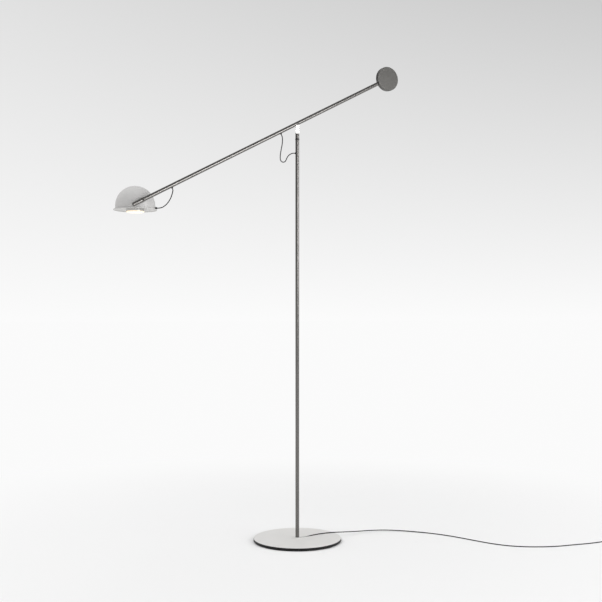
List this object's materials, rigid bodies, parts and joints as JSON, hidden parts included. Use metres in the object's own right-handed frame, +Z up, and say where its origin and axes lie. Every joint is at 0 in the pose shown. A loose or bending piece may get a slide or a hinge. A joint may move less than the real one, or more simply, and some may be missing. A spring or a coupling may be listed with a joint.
{
  "type": "adjustable arm floor lamp",
  "caption": "Floor lamp with a round weighted base, a thin pole and a swivelling, tilting arm balanced between a disc counterweight and a domed light.",
  "frame": {"origin": "on the floor at the centre of the base's underside, under the pole's axis", "axes": "+Z up along the pole; at rest the arm lies in the XZ plane with the counterweight towards +X and the light towards -X; the dome is on the arm's +Y side"},
  "size_m": [1.6415, 0.6386, 1.5573],
  "materials": {
    "black_rubber": "matte",
    "black_steel": "satin",
    "pale_painted_steel": "satin",
    "zinc_steel": "satin",
    "satin_nickel_tube": "satin",
    "black_acetal": "matte",
    "bright_aluminium": "satin",
    "machined_steel": "satin",
    "grey_disc_steel": "satin",
    "painted_shade": "satin",
    "white_reflector": "satin",
    "opal_acrylic": "matte",
    "circuit_board": "matte",
    "led_phosphor": "matte",
    "raw_aluminium": "satin",
    "black_lead": "satin",
    "black_plastic": "satin",
    "brass_pin": "satin",
    "grey_nylon": "matte",
    "fibre": "matte"
  },
  "bodies": {
    "stand": {"base_pad": "black_rubber", "base_plate": "black_steel", "base_cover": "pale_painted_steel", "foot_nipple": "zinc_steel", "foot_washer": "zinc_steel", "foot_nut": "zinc_steel", "foot_flange": "pale_painted_steel", "pole_tube": "satin_nickel_tube", "pole_grommet": "black_rubber", "swivel_socket": "satin_nickel_tube", "swivel_stop_screw": "black_steel", "pole_lead": "black_lead", "loop_lead_lower": "black_lead", "supply_lead": "black_lead", "lead_coil": "black_lead", "plug_lead": "black_lead", "adaptor_body": "black_plastic", "adaptor_relief": "black_rubber", "adaptor_pins": "brass_pin"},
    "swivel": {"swivel_washer": "black_acetal", "swivel_spindle": "machined_steel", "swivel_collar": "satin_nickel_tube", "neck_plate": "bright_aluminium", "loop_lead_upper": "black_lead"},
    "arm": {"arm_tube": "satin_nickel_tube", "pivot_block": "machined_steel", "friction_washers": "fibre", "tilt_screw": "black_steel", "tilt_nut": "black_steel", "arm_grommets": "black_rubber", "arm_tip_cap": "satin_nickel_tube", "saddle_washer": "black_acetal", "head_screw": "black_steel", "counterweight_stud": "satin_nickel_tube", "counterweight_disc": "grey_disc_steel", "counterweight_lock_screw": "black_steel", "arm_lead": "black_lead", "head_lead": "black_lead"},
    "head": {"head_friction_washer": "black_acetal", "head_hub": "satin_nickel_tube", "hub_backing_washer": "zinc_steel", "hub_nut": "zinc_steel", "dome_shade": "painted_shade", "brim_dish": "white_reflector", "diffuser": "opal_acrylic", "led_board": "circuit_board", "led_chips": "led_phosphor", "heat_sink": "raw_aluminium", "sink_screws": "zinc_steel", "head_gland": "black_rubber", "terminal_block": "grey_nylon", "head_inner_lead": "black_lead"}
  },
  "joints": [
    {"name": "arm_swivel", "type": "hinge", "parent": "stand", "child": "swivel", "pos_m": [0, 0, 1.2864], "axis": [0, 0, 1], "range_deg": [-145, 145], "deforming": ["loop_lead_lower"]},
    {"name": "arm_tilt", "type": "hinge", "parent": "swivel", "child": "arm", "pos_m": [0, 0, 1.337], "axis": [0, 1, 0], "range_deg": [-22, 60], "deforming": ["loop_lead_upper"]},
    {"name": "head_tilt", "type": "hinge", "parent": "arm", "child": "head", "pos_m": [-0.513, 0.014, 1.06423], "axis": [0, 1, 0], "range_deg": [-80, 8], "deforming": ["head_lead"]}
  ]
}
